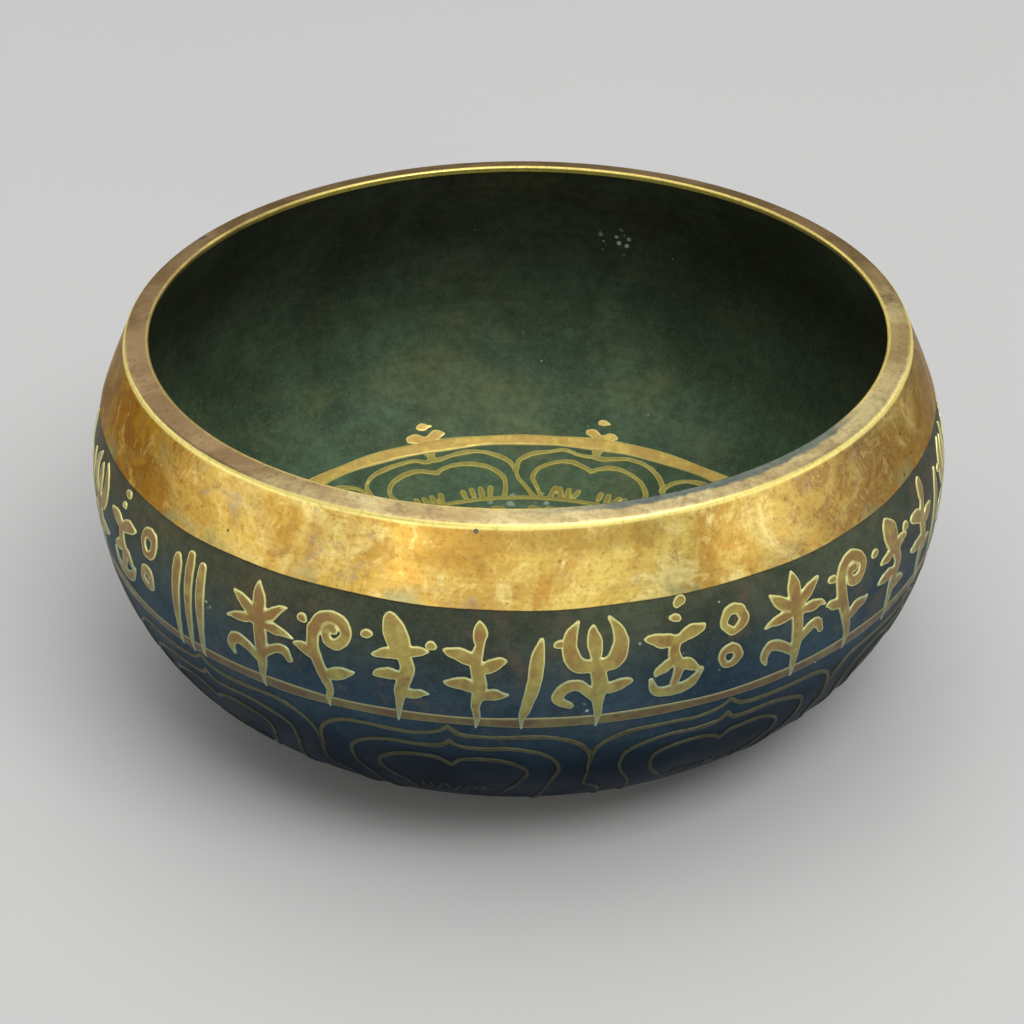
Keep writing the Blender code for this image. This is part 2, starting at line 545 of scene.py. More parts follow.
# A painted shadow: a darker brown zone just under the mouth's corner at the front.
FRONT_SHADE = (0.0125, -0.0772, 0.0725)
FRONT_SHADE_SQUEEZE = (0.35, 0.50, 2.00)
CRAZED = (-0.0639, -0.0447, 0.0718)
RIM_PITS = (((0.0611, -0.0512, 0.0680), 0.0075), ((0.0745, 0.0130, 0.0753), 0.0090))
RIM_SPOTS = (((-0.0076, -0.0769, 0.0738), 0.00050), ((-0.0655, 0.0385, 0.0750), 0.0011))


def polished_rim():
    """The rim band and lip: worn polish with clouds of gold, orange and purple-brown tarnish, with painted
    highlights and painted shade.
    """
    look = Look("polished_rim")
    x, y, z, radius = look.x, look.y, look.z, look.radius
    clouds = look.noise(30.0, 9.0, 0.68, 0.8, look.scaled((1.0, 1.0, 0.8)))
    smears_and_sheen = look.noise(55.0, 9.0, 0.7, 1.2, look.scaled((1.0, 1.0, 1.3)))
    fine = look.noise(210.0, 8.0, 0.74, 0.6)
    rings = look.turning(3800.0)
    orange = (0.46, 0.22, 0.026)
    brown = (0.22, 0.095, 0.03)

    wander = clouds.ramp(0.32, 0.68, -0.026, 0.026)
    across, along = x + wander, y + wander
    left = across.ramp(-0.012, -0.060)
    right = across.ramp(0.036, 0.068)
    back = along.ramp(0.0, 0.05)
    far_left = (x + wander * 0.5).ramp(-0.052, -0.074, 0.0, 0.9)
    flank = along.ramp(-0.040, -0.010) * along.ramp(0.048, 0.018)
    front_shade = (smears_and_sheen * 0.005 + look.distance_to(FRONT_SHADE, FRONT_SHADE_SQUEEZE)).ramp(0.0105, 0.0050, 0.0, 0.6)
    veins = abs(smears_and_sheen - 0.5).ramp(0.018, 0.0)
    veined = look.noise(34.0, 3.0).ramp(0.60, 0.68) | look.distance_to(CRAZED).ramp(0.013, 0.006)
    band_edge = z.ramp(BAND_FOOT_HEIGHT + 0.0045, BAND_FOOT_HEIGHT)
    band = look.layers(
        look.mix(clouds.ramp(0.40, 0.58), (0.54, 0.33, 0.07), (0.82, 0.63, 0.16)),
        # Pale smears: partly polish, partly a painted highlight, the reflection of a bright window.
        (smears_and_sheen.ramp(0.50, 0.62, 0.0, 0.8), (0.93, 0.80, 0.32)),
        (smears_and_sheen.ramp(0.45, 0.36, 0.0, 0.7), (0.55, 0.29, 0.055)),
        # Orange to the left, purple-brown to the right and darker still at the far left: partly tarnish,
        # partly painted shade on the band's sides, away from the light.
        (left * fine.ramp(0.36, 0.60, 0.97, 0.50), orange),
        (right * fine.ramp(0.36, 0.62, 0.97, 0.45), brown),
        (back * 0.55, orange),
        (left * 0.35, (0.50, 0.30, 0.04)),
        (look.noise(75.0, 8.0, 0.75, 0.4).ramp(0.54, 0.68, 0.0, 0.6), (0.35, 0.28, 0.21)),
        (far_left, look.mix(smears_and_sheen.ramp(0.44, 0.58), (0.33, 0.125, 0.006), (0.50, 0.25, 0.015))),
        # Dark purple-brown towards the bowl's two flanks: partly tarnish, partly painted shade.
        (flank * smears_and_sheen.ramp(0.36, 0.60, 0.90, 0.50), (0.12, 0.060, 0.040)),
        # Painted shadow under the mouth's corner at the front.
        (front_shade, (0.36, 0.23, 0.05)),
        (veins * veined * 0.75, brown),
        (fine.ramp(0.53, 0.68, 0.0, 0.6), (0.34, 0.17, 0.045)),
        (fine.ramp(0.46, 0.36, 0.0, 0.45), (0.90, 0.70, 0.24)),
        (band_edge * look.noise(90.0, 6.0).ramp(0.48, 0.60, 0.0, 0.8), (0.33, 0.33, 0.16)),
    )

    sides = (x * -0.55 + y + wander).ramp(-0.060, -0.012, 0.0, 0.9)
    bare_edge_and_highlight = radius.ramp(LIP_CREST.x + 0.0011, LIP_CREST.x + 0.0007)
    wear_and_highlight = across.ramp(-0.055, -0.015, 0.35, 0.85) | back
    wavy_radius = radius + smears_and_sheen.ramp(0.35, 0.65, -0.0004, 0.0004)
    stained_edge = wavy_radius.ramp(LIP_CREST.x + 0.0026, LIP_CREST.x + 0.0018)
    front_right = x.ramp(-0.006, 0.022) * y.ramp(-0.034, -0.048)
    lip = look.layers(
        look.mix(smears_and_sheen.ramp(0.40, 0.60), (0.50, 0.37, 0.17), (0.72, 0.60, 0.30)),
        (sides, look.mix(smears_and_sheen.ramp(0.42, 0.58), (0.34, 0.235, 0.13), (0.20, 0.12, 0.062))),
        (fine.ramp(0.5, 0.64, 0.0, 0.5), (0.25, 0.16, 0.09)),
        # A bright strip along the lip's inner edge: partly worn bare metal, partly a painted highlight,
        # weaker at the left.
        (bare_edge_and_highlight * wear_and_highlight, (0.80, 0.66, 0.20)),
        (stained_edge * front_right, look.mix(fine.ramp(0.4, 0.6), (0.12, 0.16, 0.15), (0.20, 0.24, 0.20))),
    )

    # A painted highlight along the mouth's outer corner, with less metal where it lies so that it stays
    # bright under any light.
    at_corner = abs(radius - (MOUTH.x + 0.0001)).ramp(0.00045, 0.00015)
    corner_highlight = at_corner * z.ramp(MOUTH.y - 0.0013, MOUTH.y - 0.0007, 0.0, 0.9)
    pitted = look.noise(26.0, 2.0).ramp(0.58, 0.64)
    for place, reach in RIM_PITS:
        pitted = pitted | look.distance_to(place).ramp(reach, 0.6 * reach)
    colour = look.layers(
        band,
        (z.ramp(MOUTH.y - 0.0011, MOUTH.y - 0.0005), lip),
        # Painted highlight along the mouth's corner.
        (corner_highlight, (1.0, 0.86, 0.26)),
        (look.noise(1100.0, 4.0, 0.7).ramp(0.48, 0.72, 0.0, 0.55), (0.48, 0.40, 0.34), "MULTIPLY"),
        (rings.ramp(0.35, 0.75, 0.0, 0.12), (0.25, 0.13, 0.03)),
        (look.cells(250.0).ramp(0.10, 0.05) * pitted * 0.9, PIT),
    )
    for place, reach in RIM_SPOTS:
        spot = (fine * (0.6 * reach) + look.distance_to(place)).ramp(1.4 * reach, 1.1 * reach)
        colour = look.mix(spot, colour, (0.13, 0.12, 0.11))
    return look.finish(
        Base_Color=colour, Roughness=look.noise(80.0, 6.0, 0.6).ramp(0.3, 0.72, 0.26, 0.44),
        Metallic=corner_highlight.ramp(0.0, 1.0, 0.85, 0.45), Specular_Tint=(0.86, 0.70, 0.42),
        Normal=look.bump(fine, 0.00003, look.bump(rings, 0.000006)),
    )


# Pale flecks and crusts, as (place, reach, density)
FLECKS = (
    ((0.0244, -0.0800, 0.0584), 0.0014, 900.0), ((0.0105, -0.0838, 0.0403), 0.0020, 700.0),
    ((-0.0034, -0.0838, 0.0578), 0.0009, 620.0), ((-0.0560, -0.0620, 0.0500), 0.0016, 900.0),
)
VERDIGRIS = (
    ((0.0220, 0.0759, 0.0555), 0.0042, 430.0), ((-0.0030, 0.0452, 0.0064), 0.0040, 330.0),
    ((0.0075, 0.0452, 0.0064), 0.0042, 330.0),
)
# Below the frieze the outer wall is darkened and turned blue: painted shade of the downward-facing lower
# wall, with a painted reflection of blue surroundings.
outer_patina = patina(
    "outer_patina", (0.037, 0.046, 0.030), (0.077, 0.090, 0.054), (0.100, 0.080, 0.038), 0.85,
    ((0.0395, 0.0600, (0.42, 0.72, 1.70)), (0.0240, 0.0395, (0.09, 0.18, 0.25))), FLECKS,
    rust=((0.036, 0.043, (0.090, 0.069, 0.046)),),
)
# The inner wall is made several times lighter towards the floor: painted light, the glow of light bounced
# into the bowl.
inner_patina = patina(
    "inner_patina", (0.016, 0.020, 0.012), (0.032, 0.040, 0.025), (0.052, 0.044, 0.020), 0.5,
    ((0.010, 0.062, (4.1, 5.2, 4.9)),), VERDIGRIS,
)
rim_brass = polished_rim()
# Towards the line, the frieze's colours and its edge highlight are dimmed and turned blue: painted shade,
# with a painted reflection of blue surroundings.
frieze_brass = stroke_brass(
    "frieze_brass", (0.82, 0.81, 0.34), (0.39, 0.315, 0.078), (0.25, 0.135, 0.042), 0.9, metallic=0.5,
    shaded_low_edge=((0.040, 0.056, (0.36, 0.44, 0.26)),), painted_shading=((0.039, 0.053, (0.68, 0.79, 0.96)),),
)
# The petal brass is far darker than the frieze's and darkens further towards the base: painted shade of the
# downward-facing lower wall.
petal_brass = stroke_brass(
    "petal_brass", (0.084, 0.088, 0.047), (0.064, 0.056, 0.027), (0.043, 0.027, 0.016), 0.7,
    painted_shading=((0.020, 0.037, (0.20, 0.24, 0.26)),), specular=0.12,
)
line_brass = stroke_brass("line_brass", (0.2, 0.2, 0.095), (0.125, 0.108, 0.036), (0.080, 0.042, 0.022), 0.9)
flower_brass = stroke_brass("flower_brass", (0.62, 0.58, 0.16), (0.42, 0.36, 0.075), (0.26, 0.14, 0.035), 0.6)
floor_brass = stroke_brass("floor_brass", (0.95, 0.84, 0.32), (0.80, 0.58, 0.12), (0.50, 0.29, 0.07), 0.6)


# ---- shell and rim

band_foot = outer.at_height(BAND_FOOT_HEIGHT)
line_at = outer.at_height(LINE_HEIGHT)
ring_top = inner.at_height(FLOOR_RING_HEIGHT)


def make_shell():
    """The etched ground, from the middle of the floor to under the lip and down to the middle of the base."""
    inside_places = np.concatenate([np.linspace(0.0005, 0.037, 20), np.linspace(0.038, inner.length, 100)])
    outside_places = np.linspace(0.003, outer.length - BASE_RADIUS - 0.0012, 120)
    under_lip = (LIP_FOOT.x + 0.0016, MOUTH.y - 0.0016)
    foot = ((BASE_RADIUS + 0.0002, 0.00012), (BASE_RADIUS - 0.0004, 0.0), (0.030, 0.0), (0.0005, 0.0))
    section = np.vstack([
        np.transpose(inner.place(inside_places, -ETCH_DEPTH)), under_lip,
        np.transpose(outer.place(outside_places, -ETCH_DEPTH)), foot,
    ])[::-1]
    made = turned("bowl_shell", section[:, :1], section[:, 1:], outer_patina, closed=False)
    made.data.materials.append(inner_patina)
    rows = np.arange(len(made.data.polygons)) // SEGMENTS
    side = (rows >= len(foot) + len(outside_places)).astype(np.int32)
    # The last two faces close the middle of the base and the middle of the floor.
    side[-2] = 0
    made.data.polygons.foreach_set("material_index", side)


def corner(before, at, after, size):
    """A rounding in place of the corner at a point between two others."""
    start = at + (before - at).normalized() * size
    end = at + (after - at).normalized() * size
    return interpolate_bezier(start, start.lerp(at, 0.6), end.lerp(at, 0.6), end, 8)


def make_rim():
    """The polished lip and band, whose lower edge was painted by hand and so wanders a little."""
    angle = SEGMENT_ANGLES
    waver = 0.00022 * np.sin(3 * angle + 0.6) + 0.00012 * np.sin(8 * angle + 2.0)
    foot = band_foot + waver + 0.00007 * np.sin(21 * angle)
    below_mouth = Vector(outer.place(0.002))
    lip = [LIP_FOOT, *corner(LIP_FOOT, LIP_CREST, MOUTH, 0.0009), LIP_CREST.lerp(MOUTH, 0.35),
           LIP_CREST.lerp(MOUTH, 0.55), *corner(LIP_CREST, MOUTH, below_mouth, 0.0008)]
    places = [(part * foot, 0.0) for part in np.linspace(0.16, 1.0, 22)]
    places += [(foot + step * 0.00022, -ETCH_DEPTH * 1.3 * step) for step in (0.25, 0.5, 0.75, 1.0)]
    places += [(part * foot, -depth) for depth, part in ((0.0018, 1.0), (0.0018, 0.5), (0.0016, 0.12))]
    rows = [*lip, *(outer.place(*place) for place in places), (LIP_FOOT.x + 0.001, LIP_FOOT.y - 0.0004)]
    rows = [[np.broadcast_to(part, SEGMENTS) for part in row[:2]] for row in rows[::-1]]
    radius, height = np.array(rows).transpose(1, 0, 2)
    turned("rim_band", radius, height, rim_brass, closed=True)


RING_SECTION = (
    (-1.0, -0.4), (-1.0, 0.0), (-0.93, 0.55), (-0.8, 0.9), (-0.6, 1.0), (-0.3, 1.0), (0.0, 1.0),
    (0.3, 1.0), (0.6, 1.0), (0.8, 0.9), (0.93, 0.55), (1.0, 0.0), (1.0, -0.4),
)


def make_ring(name, wall, at, half_width, waver, phase, material, height):
    """A drawn line that runs all the way round, with a brush's uneven width."""
    angle = SEGMENT_ANGLES
    drift = waver * (np.sin(5 * angle + phase) + 0.6 * np.sin(13 * angle + 2 * phase))
    wide = half_width * (1 + 0.10 * np.sin(9 * angle + phase) + 0.07 * np.sin(23 * angle + 3 * phase))
    rows = [wall.place(at + drift + across * wide, -ETCH_DEPTH + up * height) for across, up in RING_SECTION]
    radius, heights = np.array(rows).transpose(1, 0, 2)
    made = turned(name, radius, heights, material, closed=True)
    depth = np.array([(1 - abs(across)) * half_width / MM for across, _ in RING_SECTION])
    keep_depth(made, np.repeat(depth, SEGMENTS))


# ---- the frieze

FRIEZE_RADIUS = 0.0843
FRIEZE_DEPTH = (line_at - band_foot) / MM


def varied(rng, points, amount=0.22):
    """The same stroke as a hand would repeat it, never quite alike."""
    return [(x + rng.uniform(-amount, amount), y + rng.uniform(-amount, amount), w * rng.uniform(0.92, 1.1))
            for x, y, w in points]


def leaf(x, y, direction, length, half_width, bend):
    """A teardrop leaf that leaves (x, y) in a direction, in degrees, 0 to the right and 90 upwards."""
    angle = math.radians(direction)
    along = (math.cos(angle), -math.sin(angle))
    side = (-along[1], along[0])
    points = []
    for part, width in ((0.0, 0.5), (0.25, 0.85), (0.52, 1.0), (0.8, 0.66), (1.0, 0.2)):
        sideways = bend * length * part * part
        points.append((x + along[0] * length * part + side[0] * sideways,
                       y + along[1] * length * part + side[1] * sideways, half_width * width))
    return points


def coil(x, y, start, turns, size, half_width, steps=12):
    """A tendril that winds into (x, y): it starts at an angle in degrees, at a distance of size."""
    points = []
    for step in range(steps):
        part = step / (steps - 1)
        angle = math.radians(start + 360 * turns * part)
        reach = size * (1 - 0.80 * part)
        points.append((x + reach * math.cos(angle), y - reach * math.sin(angle),
                       half_width * (1.0 - 0.3 * part)))
    return points


def ring(x, y, across, tall, half_width):
    """An oval drawn in one closed stroke."""
    return [(x + across * math.sin(a), y - tall * math.cos(a), half_width * (1 + 0.16 * math.sin(a + 0.7)))
            for a in np.linspace(0.1, TURN + 0.1, 13)]


def dot(x, y, size=0.9):
    """A dab of the brush, drawn out to one side."""
    return [(x - 0.45, y + 0.1, size * 0.8), (x + 0.15, y - 0.1, size), (x + 0.7, y + 0.15, size * 0.6)]


def stem(*points):
    """A stem from its flower down to a point just past the line."""
    x = points[-1][0]
    return [*points, (x - 0.2, FRIEZE_DEPTH - 0.8, 0.62), (x - 0.3, FRIEZE_DEPTH + 1.6, 0.25)]


def reeds():
    """Three tall blades of grass."""
    return [
        stem((x + 0.9, 3.4 + 0.5 * abs(x - 0.4), 0.9), (x + 0.9, 7.0, 1.2), (x + 0.5, 12.5, 1.1),
             (x, 18.0, 0.9))
        for x in (-3.5, 0.0, 3.3)
    ]


def lotus():
    """An open lotus flower over two arching leaves."""
    return [
        stem((0.2, 9.0, 1.1), (0.6, 13.0, 1.4), (0.3, 18.5, 1.15)),
        leaf(0.2, 10.0, 92, 7.6, 1.55, 0.0), leaf(0.0, 10.2, 132, 7.2, 1.25, -0.16),
        leaf(0.4, 10.2, 48, 7.2, 1.25, 0.16), leaf(-0.2, 10.6, 168, 6.6, 1.1, -0.34),
        leaf(0.6, 10.6, 12, 6.6, 1.1, 0.34),
        [(0.3, 19.4, 0.7), (-2.6, 16.6, 1.15), (-5.4, 15.8, 1.25), (-6.9, 17.6, 0.95), (-6.2, 19.4, 0.45)],
        [(0.5, 17.4, 0.7), (3.0, 15.0, 1.0), (5.2, 14.6, 1.1), (6.5, 16.4, 0.8)],
    ]


def fern():
    """A young fern: a thick stem that winds into a coil, with two leaves."""
    return [
        coil(1.0, 8.1, 180, -1.3, 3.7, 1.3),
        stem((-2.7, 8.0, 1.25), (-2.7, 12.0, 1.35), (-1.2, 17.0, 1.25), (-0.3, 20.5, 0.9)),
        leaf(-2.4, 13.6, 150, 4.6, 1.2, -0.2), leaf(-1.0, 17.6, 32, 6.4, 1.3, 0.22),
    ]


def bud():
    """A fat closed bud on a curved stem with a leaf each side."""
    return [
        leaf(0.8, 9.6, 112, 7.2, 2.3, 0.05),
        leaf(0.8, 10.2, 30, 5.0, 1.1, 0.3), leaf(0.4, 10.2, 172, 4.8, 1.1, -0.3),
        stem((0.7, 9.4, 1.1), (1.9, 13.0, 1.35), (0.4, 17.0, 1.3), (-0.2, 20.5, 0.9)),
        leaf(1.4, 14.6, 168, 6.0, 1.25, -0.28), leaf(0.4, 18.4, 20, 4.8, 1.1, 0.25),
    ]


def sprig():
    """An upright twig with leaves by turns left and right."""
    return [
        stem((1.4, 6.0, 0.8), (0.4, 10.0, 1.2), (1.2, 14.6, 1.35), (0.4, 19.5, 1.0)),
        leaf(1.3, 6.8, 96, 4.6, 1.45, 0.1), leaf(0.6, 10.0, 152, 6.2, 1.45, -0.16),
        leaf(0.8, 11.8, 34, 5.4, 1.35, 0.18), leaf(1.2, 15.6, 160, 6.4, 1.4, -0.2),
        leaf(0.8, 17.6, 22, 5.0, 1.2, 0.22),
    ]


def blade():
    """A single blade of grass that leans."""
    return [stem((2.4, 5.4, 0.5), (1.9, 9.0, 1.3), (1.0, 14.5, 1.25), (-0.4, 20.0, 0.95))]


def lily():
    """A tulip-shaped flower with a bud in it, over a curled leaf."""
    return [
        leaf(0.0, 9.8, 90, 6.4, 1.5, 0.0),
        [(0.0, 11.6, 1.2), (-2.9, 10.6, 1.6), (-4.5, 7.8, 1.6), (-4.3, 5.0, 1.2), (-2.7, 2.3, 0.35)],
        [(0.0, 11.6, 1.2), (3.0, 10.4, 1.6), (4.5, 7.4, 1.6), (4.2, 4.7, 1.2), (2.9, 2.0, 0.35)],
        stem((0.0, 11.0, 1.2), (0.4, 14.5, 1.4), (0.2, 19.0, 1.15)),
        [(0.2, 19.0, 0.8), (-2.6, 15.6, 1.2), (-5.6, 15.4, 1.25), (-6.8, 18.0, 1.1), (-4.8, 19.6, 0.8)],
        leaf(0.4, 17.0, 28, 6.2, 1.3, 0.25),
    ]


def sprout():
    """A seedling on a ripple of water, with two drops over it."""
    return [
        dot(0.6, 1.7, 1.0), dot(-0.4, 4.5, 0.75),
        [(0.0, 8.4, 0.9), (-0.5, 11.0, 1.25), (0.3, 14.2, 1.2), (-0.4, 17.6, 0.9)],
        leaf(0.0, 9.4, 152, 6.0, 1.5, -0.22), leaf(0.0, 9.2, 34, 5.8, 1.4, 0.22),
        leaf(-0.2, 12.6, 198, 4.6, 1.2, -0.3), leaf(-0.2, 13.4, -10, 4.8, 1.2, 0.3),
        [(-5.0, 16.0, 0.45), (-3.6, 18.6, 1.1), (-0.4, 19.4, 1.2), (2.8, 18.4, 1.15), (4.8, 15.8, 0.5)],
    ]


def berries():
    """Two ringed berries, one over the other."""
    return [ring(0.5, 7.4, 1.95, 2.25, 0.95), ring(-0.1, 14.8, 1.65, 1.8, 0.9)]


REEDS_PLACE = -67.9
FIRST_REPEAT = -49.7
REPEATS = 5
REPEAT_LENGTH = (TURN * FRIEZE_RADIUS / MM - 17.2) / REPEATS
REPEAT = (
    (0.0, lotus), (14.6, fern), (27.9, bud), (41.4, sprig), (50.9, blade), (62.9, lily), (77.8, sprout),
    (88.4, berries),
)
DABS = (9.3, 22.0, 33.8, 56.4)


def frieze_part(relief, rng, place, strokes, number, half_width=8.2):
    """One element of the frieze, drawn a little differently each time."""
    drawing = Drawing(-half_width, 0.15, half_width, FRIEZE_DEPTH + 2.4)
    for points in strokes:
        drawing.stroke(varied(rng, points))
    drawing.soften()
    drawing.waver(0.05, number)
    slope = rng.uniform(-0.03, 0.03)
    shift = rng.uniform(-0.4, 0.4)

    def lay(flat, lift):
        x = flat[:, 0] + slope * (flat[:, 1] - FRIEZE_DEPTH / 2)
        y = flat[:, 1] + shift * np.clip(1 - flat[:, 1] / FRIEZE_DEPTH, 0, 1)
        angle = (place + x) * MM / FRIEZE_RADIUS
        radius, height = outer.place(band_foot + y * MM, -ETCH_DEPTH + lift)
        return on_bowl(angle, radius, height)

    relief.add(drawing, lay)


def make_frieze():
    """The ring of brush-drawn plants between the rim band and the line."""
    rng = np.random.default_rng(11)
    relief = Relief(BROAD_LEVELS)
    frieze_part(relief, rng, REEDS_PLACE, reeds(), 0)
    for repeat in range(REPEATS):
        start = FIRST_REPEAT + repeat * REPEAT_LENGTH
        for number, (offset, plant) in enumerate(REPEAT):
            place = start + offset + (rng.uniform(-0.6, 0.6) if repeat else 0.0)
            frieze_part(relief, rng, place, plant(), 1 + repeat * len(REPEAT) + number)
        for offset in DABS:
            frieze_part(relief, rng, start + offset, [dot(0, 7.4 + rng.uniform(-0.6, 0.6))], repeat, 2.6)
    return relief.piece("frieze", frieze_brass)


# ---- lotus petals, outside and on the floor

PETALS = 10
OUTER_PETALS_TURN = math.radians(-9.0)
FLOOR_PETALS_TURN = math.radians(18.9)
# How far from its middle a petal meets the next one, in degrees
MEETING = 18.05


def polar(degrees, depth, edge):
    """A point of a petal, as degrees from its middle and millimetres in from the edge it hangs from."""
    angle = math.radians(degrees)
    return (edge - depth) * math.sin(angle), -(edge - depth) * math.cos(angle)


def petal(number, outlines, edge, half_width, seed, onward=-1, lean=0.0):
    """Strokes of one petal: outlines as (degrees, depth) from its middle outwards, drawn to both sides.

    Where it meets its neighbour, only the outline on the onward side runs on. lean turns an outline
    towards that side, in degrees for each millimetre of depth.
    """
    rng = np.random.default_rng((seed, number % PETALS))
    for outline in outlines:
        middle = outline[0][1] + rng.uniform(-0.2, 0.2)
        for side in (-1, 1):
            points = [(*polar(0.0, middle, edge), half_width)]
            for degrees, depth in outline[1:]:
                if side != onward and degrees > MEETING:
                    break
                degrees = side * degrees + onward * lean * max(0, depth - 8)
                x, y = polar(degrees + rng.uniform(-0.3, 0.3), depth + rng.uniform(-0.25, 0.25), edge)
                points.append((x, y, half_width * rng.uniform(0.8, 1.15)))
            yield points


def hatch(number, first, last, start, long, edge, count, half_width, seed):
    """A row of short strokes, side by side, that point in towards the axis."""
    rng = np.random.default_rng((seed, number % PETALS))
    for degrees in np.linspace(first, last, count):
        length = long * rng.uniform(0.7, 1.2)
        tilt = rng.uniform(-0.5, 0.5)
        begin = polar(degrees - tilt, start + rng.uniform(-0.3, 0.3), edge)
        end = polar(degrees + tilt, start + length, edge)
        middle = ((begin[0] + end[0]) / 2, (begin[1] + end[1]) / 2)
        yield [(*begin, half_width * 0.9), (*middle, half_width), (*end, half_width * 0.8)]


def turned_by(points, degrees):
    """Flat points turned about the bowl's axis."""
    c, s = math.cos(math.radians(degrees)), math.sin(math.radians(degrees))
    return [(x * c - y * s, x * s + y * c, w) for x, y, w in points]


def sector(drawing, strokes_of, number):
    """Draws a petal and its two neighbours, then keeps a tenth of the circle."""
    step = 360 / PETALS
    for neighbour in (-1, 0, 1):
        for points in strokes_of(number + neighbour):
            drawing.stroke(turned_by(points, neighbour * step))
    drawing.soften()
    drawing.waver(0.045, number)
    x, y = np.meshgrid(drawing.x, drawing.y)
    beyond = np.abs(np.arctan2(x, -y)) - math.pi / PETALS
    drawing.distance = np.maximum(drawing.distance, beyond * np.hypot(x, y))


OUTER_PETAL = (
    ((0, 1.5), (1.5, 3.4), (4.4, 4.0), (7.4, 4.0), (10.6, 3.9), (13.8, 4.4), (16.3, 6.3), (17.6, 9.4),
     (18.0, 13.4), (18.2, 17.0), (18.5, 21.5), (16.6, 24.5), (15.2, 30.0), (14.8, 40.0), (15.2, 53.0)),
    ((0, 5.4), (1.3, 7.2), (4.4, 7.3), (7.8, 7.3), (11.0, 8.6), (13.3, 10.8), (13.8, 14.4), (13.1, 18.4),
     (12.1, 23.0), (11.0, 31.0), (10.4, 41.0), (10.8, 53.0)),
    ((0, 13.2), (1.4, 11.4), (3.6, 10.7), (6.4, 11.0), (8.8, 12.6), (9.8, 15.2), (9.0, 19.0), (7.7, 22.4),
     (6.0, 27.0)),
)
FLOOR_PETAL = (
    ((0, 4.7), (1.4, 5.0), (4.0, 4.4), (7.2, 3.9), (10.6, 4.2), (14.0, 5.2), (16.8, 7.1), (18.0, 9.4),
     (18.5, 12.0), (19.4, 15.0), (21.0, 18.2)),
    ((0, 8.8), (1.6, 7.8), (4.6, 7.0), (8.4, 7.3), (12.0, 8.9), (14.2, 11.6), (14.0, 14.8), (13.0, 18.2)),
)


def make_outer_petals():
    """Ten lotus petals, three outlines each, that hang from the line and run in under the base's edge."""
    relief = Relief(THIN_LEVELS)
    edge = (outer.length - line_at) / MM

    def strokes_of(number):
        yield from petal(number, OUTER_PETAL, edge, 0.5, 23)
        yield from hatch(number, -5.0, 5.0, 22.4, 3.2, edge, 9, 0.36, 24)

    for number in range(PETALS):
        drawing = Drawing(-36, -edge + 0.4, 36, -(BASE_RADIUS / MM) + 0.8, COARSE_GRID)
        sector(drawing, strokes_of, number)
        turn = OUTER_PETALS_TURN + number * TURN / PETALS

        def lay(flat, lift, turn=turn):
            away = np.hypot(flat[:, 0], flat[:, 1])
            angle = turn + np.arctan2(flat[:, 0], -flat[:, 1])
            radius, height = outer.place(outer.length - away * MM, -ETCH_DEPTH + lift)
            return on_bowl(angle, radius, height)

        relief.add(drawing, lay)
    return relief.piece("outer_petals", petal_brass)


def lay_on_floor(number):
    """Lays a drawing on the floor, where it runs the other way round from one on the outside."""
    turn = math.pi + FLOOR_PETALS_TURN + number * TURN / PETALS

    def lay(flat, lift):
        away = np.hypot(flat[:, 0], flat[:, 1])
        angle = turn - np.arctan2(flat[:, 0], -flat[:, 1])
        radius, height = inner.place(away * MM, -ETCH_DEPTH + lift)
        return on_bowl(angle, radius, height)

    return lay


def make_floor_flower():
    """The flower on the floor, inside its ring: ten petals round a core."""
    relief = Relief(THIN_LEVELS)
    edge = ring_top / MM
    core = edge - 46.6

    def strokes_of(number):
        yield from petal(number, FLOOR_PETAL, edge, 0.66, 31, onward=1, lean=0.22)
        yield from hatch(number, -8.0, -1.6, core - 3.4, 2.7, edge, 4, 0.74, 32)
        yield from hatch(number, 4.6, 11.6, core - 3.4, 2.7, edge, 4, 0.74, 33)
        yield [(*polar(degrees, core, edge), 0.62) for degrees in np.linspace(-18.5, 18.5, 15)]
        yield [(*polar(0, 1.6, edge), 1.9), (*polar(0, 3.2, edge), 1.2), (*polar(0, 4.6, edge), 0.9)]
        for degrees in (-13.0, -8.0, -3.0, 2.0, 7.0, 12.0):
            yield [(*polar(degrees, core + 3.6, edge), 1.0), (*polar(degrees + 2.4, core + 4.0, edge), 0.8)]

    for number in range(PETALS):
        drawing = Drawing(-24, -edge + 0.6, 24, -36)
        # The neighbours count the other way round here, because the drawing is laid mirrored.
        sector(drawing, strokes_of, number)
        relief.add(drawing, lay_on_floor(-number))
    return relief.piece("floor_flower", flower_brass)


def make_floor_tips():
    """Brush marks outside the floor's ring at each petal's tip: two wings and a drop over them."""
    rng = np.random.default_rng(37)
    relief = Relief(BROAD_LEVELS)
    top = -ring_top / MM
    for number in range(PETALS):
        size = rng.uniform(0.82, 1.08)
        lean = rng.uniform(-0.5, 0.5)
        drawing = Drawing(-9, top - 8.5, 9, top + 2.6)
        drop = -4.9 if number % 2 else -3.7
        marks = (
            ((-3.7, -1.4 + lean, 0.9), (-2.4, -1.4 + lean, 1.25), (-1.1, -0.6, 1.3), (0.0, 0.5, 1.6)),
            ((0.0, 0.5, 1.6), (1.5, -0.6, 1.3), (2.9, -1.3 - lean, 1.25), (4.6, -1.1 - lean, 0.35)),
            ((lean - 0.9, drop, 0.8), (lean + 0.1, drop - 0.1, 0.95), (lean + 1.2, drop, 0.5),
             (lean + 2.2, drop, 0.2)),
        )
        for mark in marks:
            drawing.stroke([(x * size, top + y * size, w * size) for x, y, w in mark])
        drawing.soften()
        drawing.waver(0.06, number + 70)
        relief.add(drawing, lay_on_floor(number))
    return relief.piece("floor_tips", floor_brass)


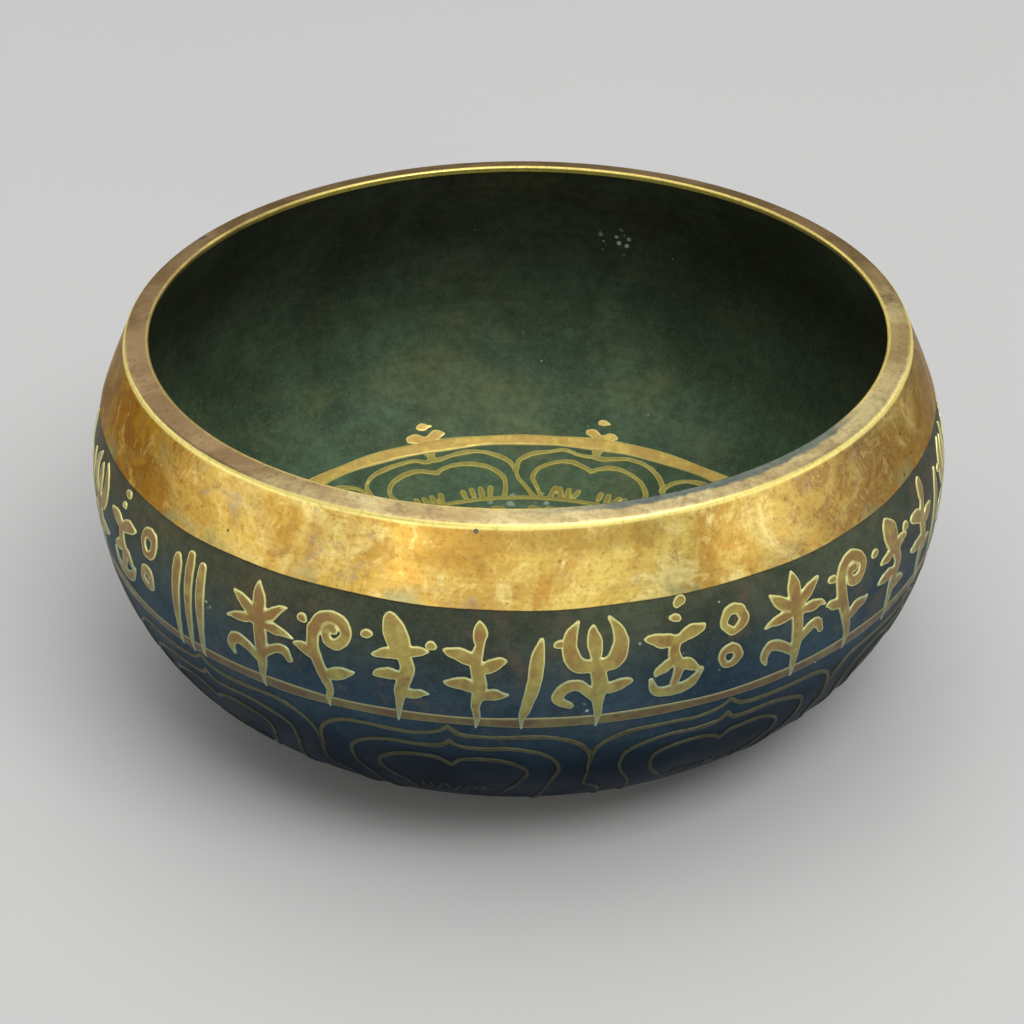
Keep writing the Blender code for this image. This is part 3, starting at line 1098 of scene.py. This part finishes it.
make_shell()
make_rim()
make_ring("ornament_line", outer, line_at, 0.0011, 0.00010, 0.4, line_brass, 0.8 * RELIEF_HEIGHT)
make_ring("floor_ring", inner, ring_top - 0.0013, 0.00145, 0.00009, 1.7, floor_brass, ETCH_DEPTH)
make_frieze()
make_outer_petals()
make_floor_flower()
make_floor_tips()


# ---- floor, light and camera


FLOOR_HALF = 3.0
WORLD_LIGHT = 0.24
LIT_PLACE = Vector((0, 0, 0.05))
WINDOW = (1.0, 0.97, 0.92)
# Each light's name, place, size, power and colour
LIGHTS = (
    ("key", (0.42, -0.62, 1.10), (0.9, 0.6), 9.5),
    ("top", (-0.10, 0.10, 1.35), (1.6, 1.3), 8.5),
    ("left_window", (-3.10, -0.92, 0.62), (3.2, 1.15), 18.6, WINDOW),
    ("window", (-0.21, -3.25, 0.92), (4.7, 1.3), 25.0, WINDOW),
    ("right_window", (3.10, -0.92, 0.62), (3.2, 1.15), 17.2, WINDOW),
    ("glint", (-1.55, -2.75, 0.62), (0.8, 0.7), 5.5, (0.94, 0.97, 1.0)),
    ("left_back", (-0.85, 0.70, 0.55), (0.9, 0.4), 1.6),
    ("right_back", (0.85, 0.70, 0.55), (0.9, 0.4), 1.4),
    ("back", (-0.10, 0.95, 0.80), (1.0, 0.4), 1.6),
)


def make_floor():
    mesh = bpy.data.meshes.new("floor")
    corners = [(x * FLOOR_HALF, y * FLOOR_HALF, 0) for x, y in ((-1, -1), (1, -1), (1, 1), (-1, 1))]
    mesh.from_pydata(corners, [], [(0, 1, 2, 3)])
    floor = bpy.data.objects.new("floor", mesh)
    bpy.context.scene.collection.objects.link(floor)
    look = Look("pale_floor")
    colour = look.mix(look.noise(3.0, 3.0), (0.50, 0.50, 0.50), (0.54, 0.54, 0.535))
    mesh.materials.append(look.finish(Base_Color=colour, Roughness=0.6, Metallic=0.0))


def area_light(name, place, size, power, colour=(1, 1, 1)):
    data = bpy.data.lights.new(name, "AREA")
    data.shape = "RECTANGLE"
    data.size, data.size_y = size
    data.energy = power
    data.color = colour
    light = bpy.data.objects.new(name, data)
    light.location = place
    light.rotation_euler = (LIT_PLACE - Vector(place)).to_track_quat("-Z", "Y").to_euler()
    light.visible_camera = False
    bpy.context.scene.collection.objects.link(light)


def make_lights():
    world = bpy.data.worlds.new("studio")
    world.use_nodes = True
    background = world.node_tree.nodes["Background"]
    background.inputs["Color"].default_value = (1.0, 1.0, 1.0, 1)
    background.inputs["Strength"].default_value = WORLD_LIGHT
    bpy.context.scene.world = world
    for light in LIGHTS:
        area_light(*light)


def make_camera():
    """The camera's elevation, roll and distance, given from the middle of the mouth."""
    elevation, roll = math.radians(31.16), math.radians(0.37)
    across, up_by, away = (MOUTH.x * ratio for ratio in (-0.0144, -0.4888, -7.158))
    ce, se, cr, sr = math.cos(elevation), math.sin(elevation), math.cos(roll), math.sin(roll)
    right = Vector((cr, -sr * se, -sr * ce))
    up = Vector((sr, cr * se, cr * ce))
    forward = Vector((0, ce, -se))
    place = Vector((0, 0, MOUTH.y)) + right * across + up * up_by + forward * away
    data = bpy.data.cameras.new("camera")
    data.sensor_width = 36.0
    data.lens = 98.44
    camera = bpy.data.objects.new("camera", data)
    turn = Matrix((right, up, -forward)).transposed()
    camera.matrix_world = Matrix.Translation(place) @ turn.to_4x4()
    bpy.context.scene.collection.objects.link(camera)
    bpy.context.scene.camera = camera


make_floor()
make_lights()
make_camera()
bpy.context.scene.view_settings.view_transform = "Standard"
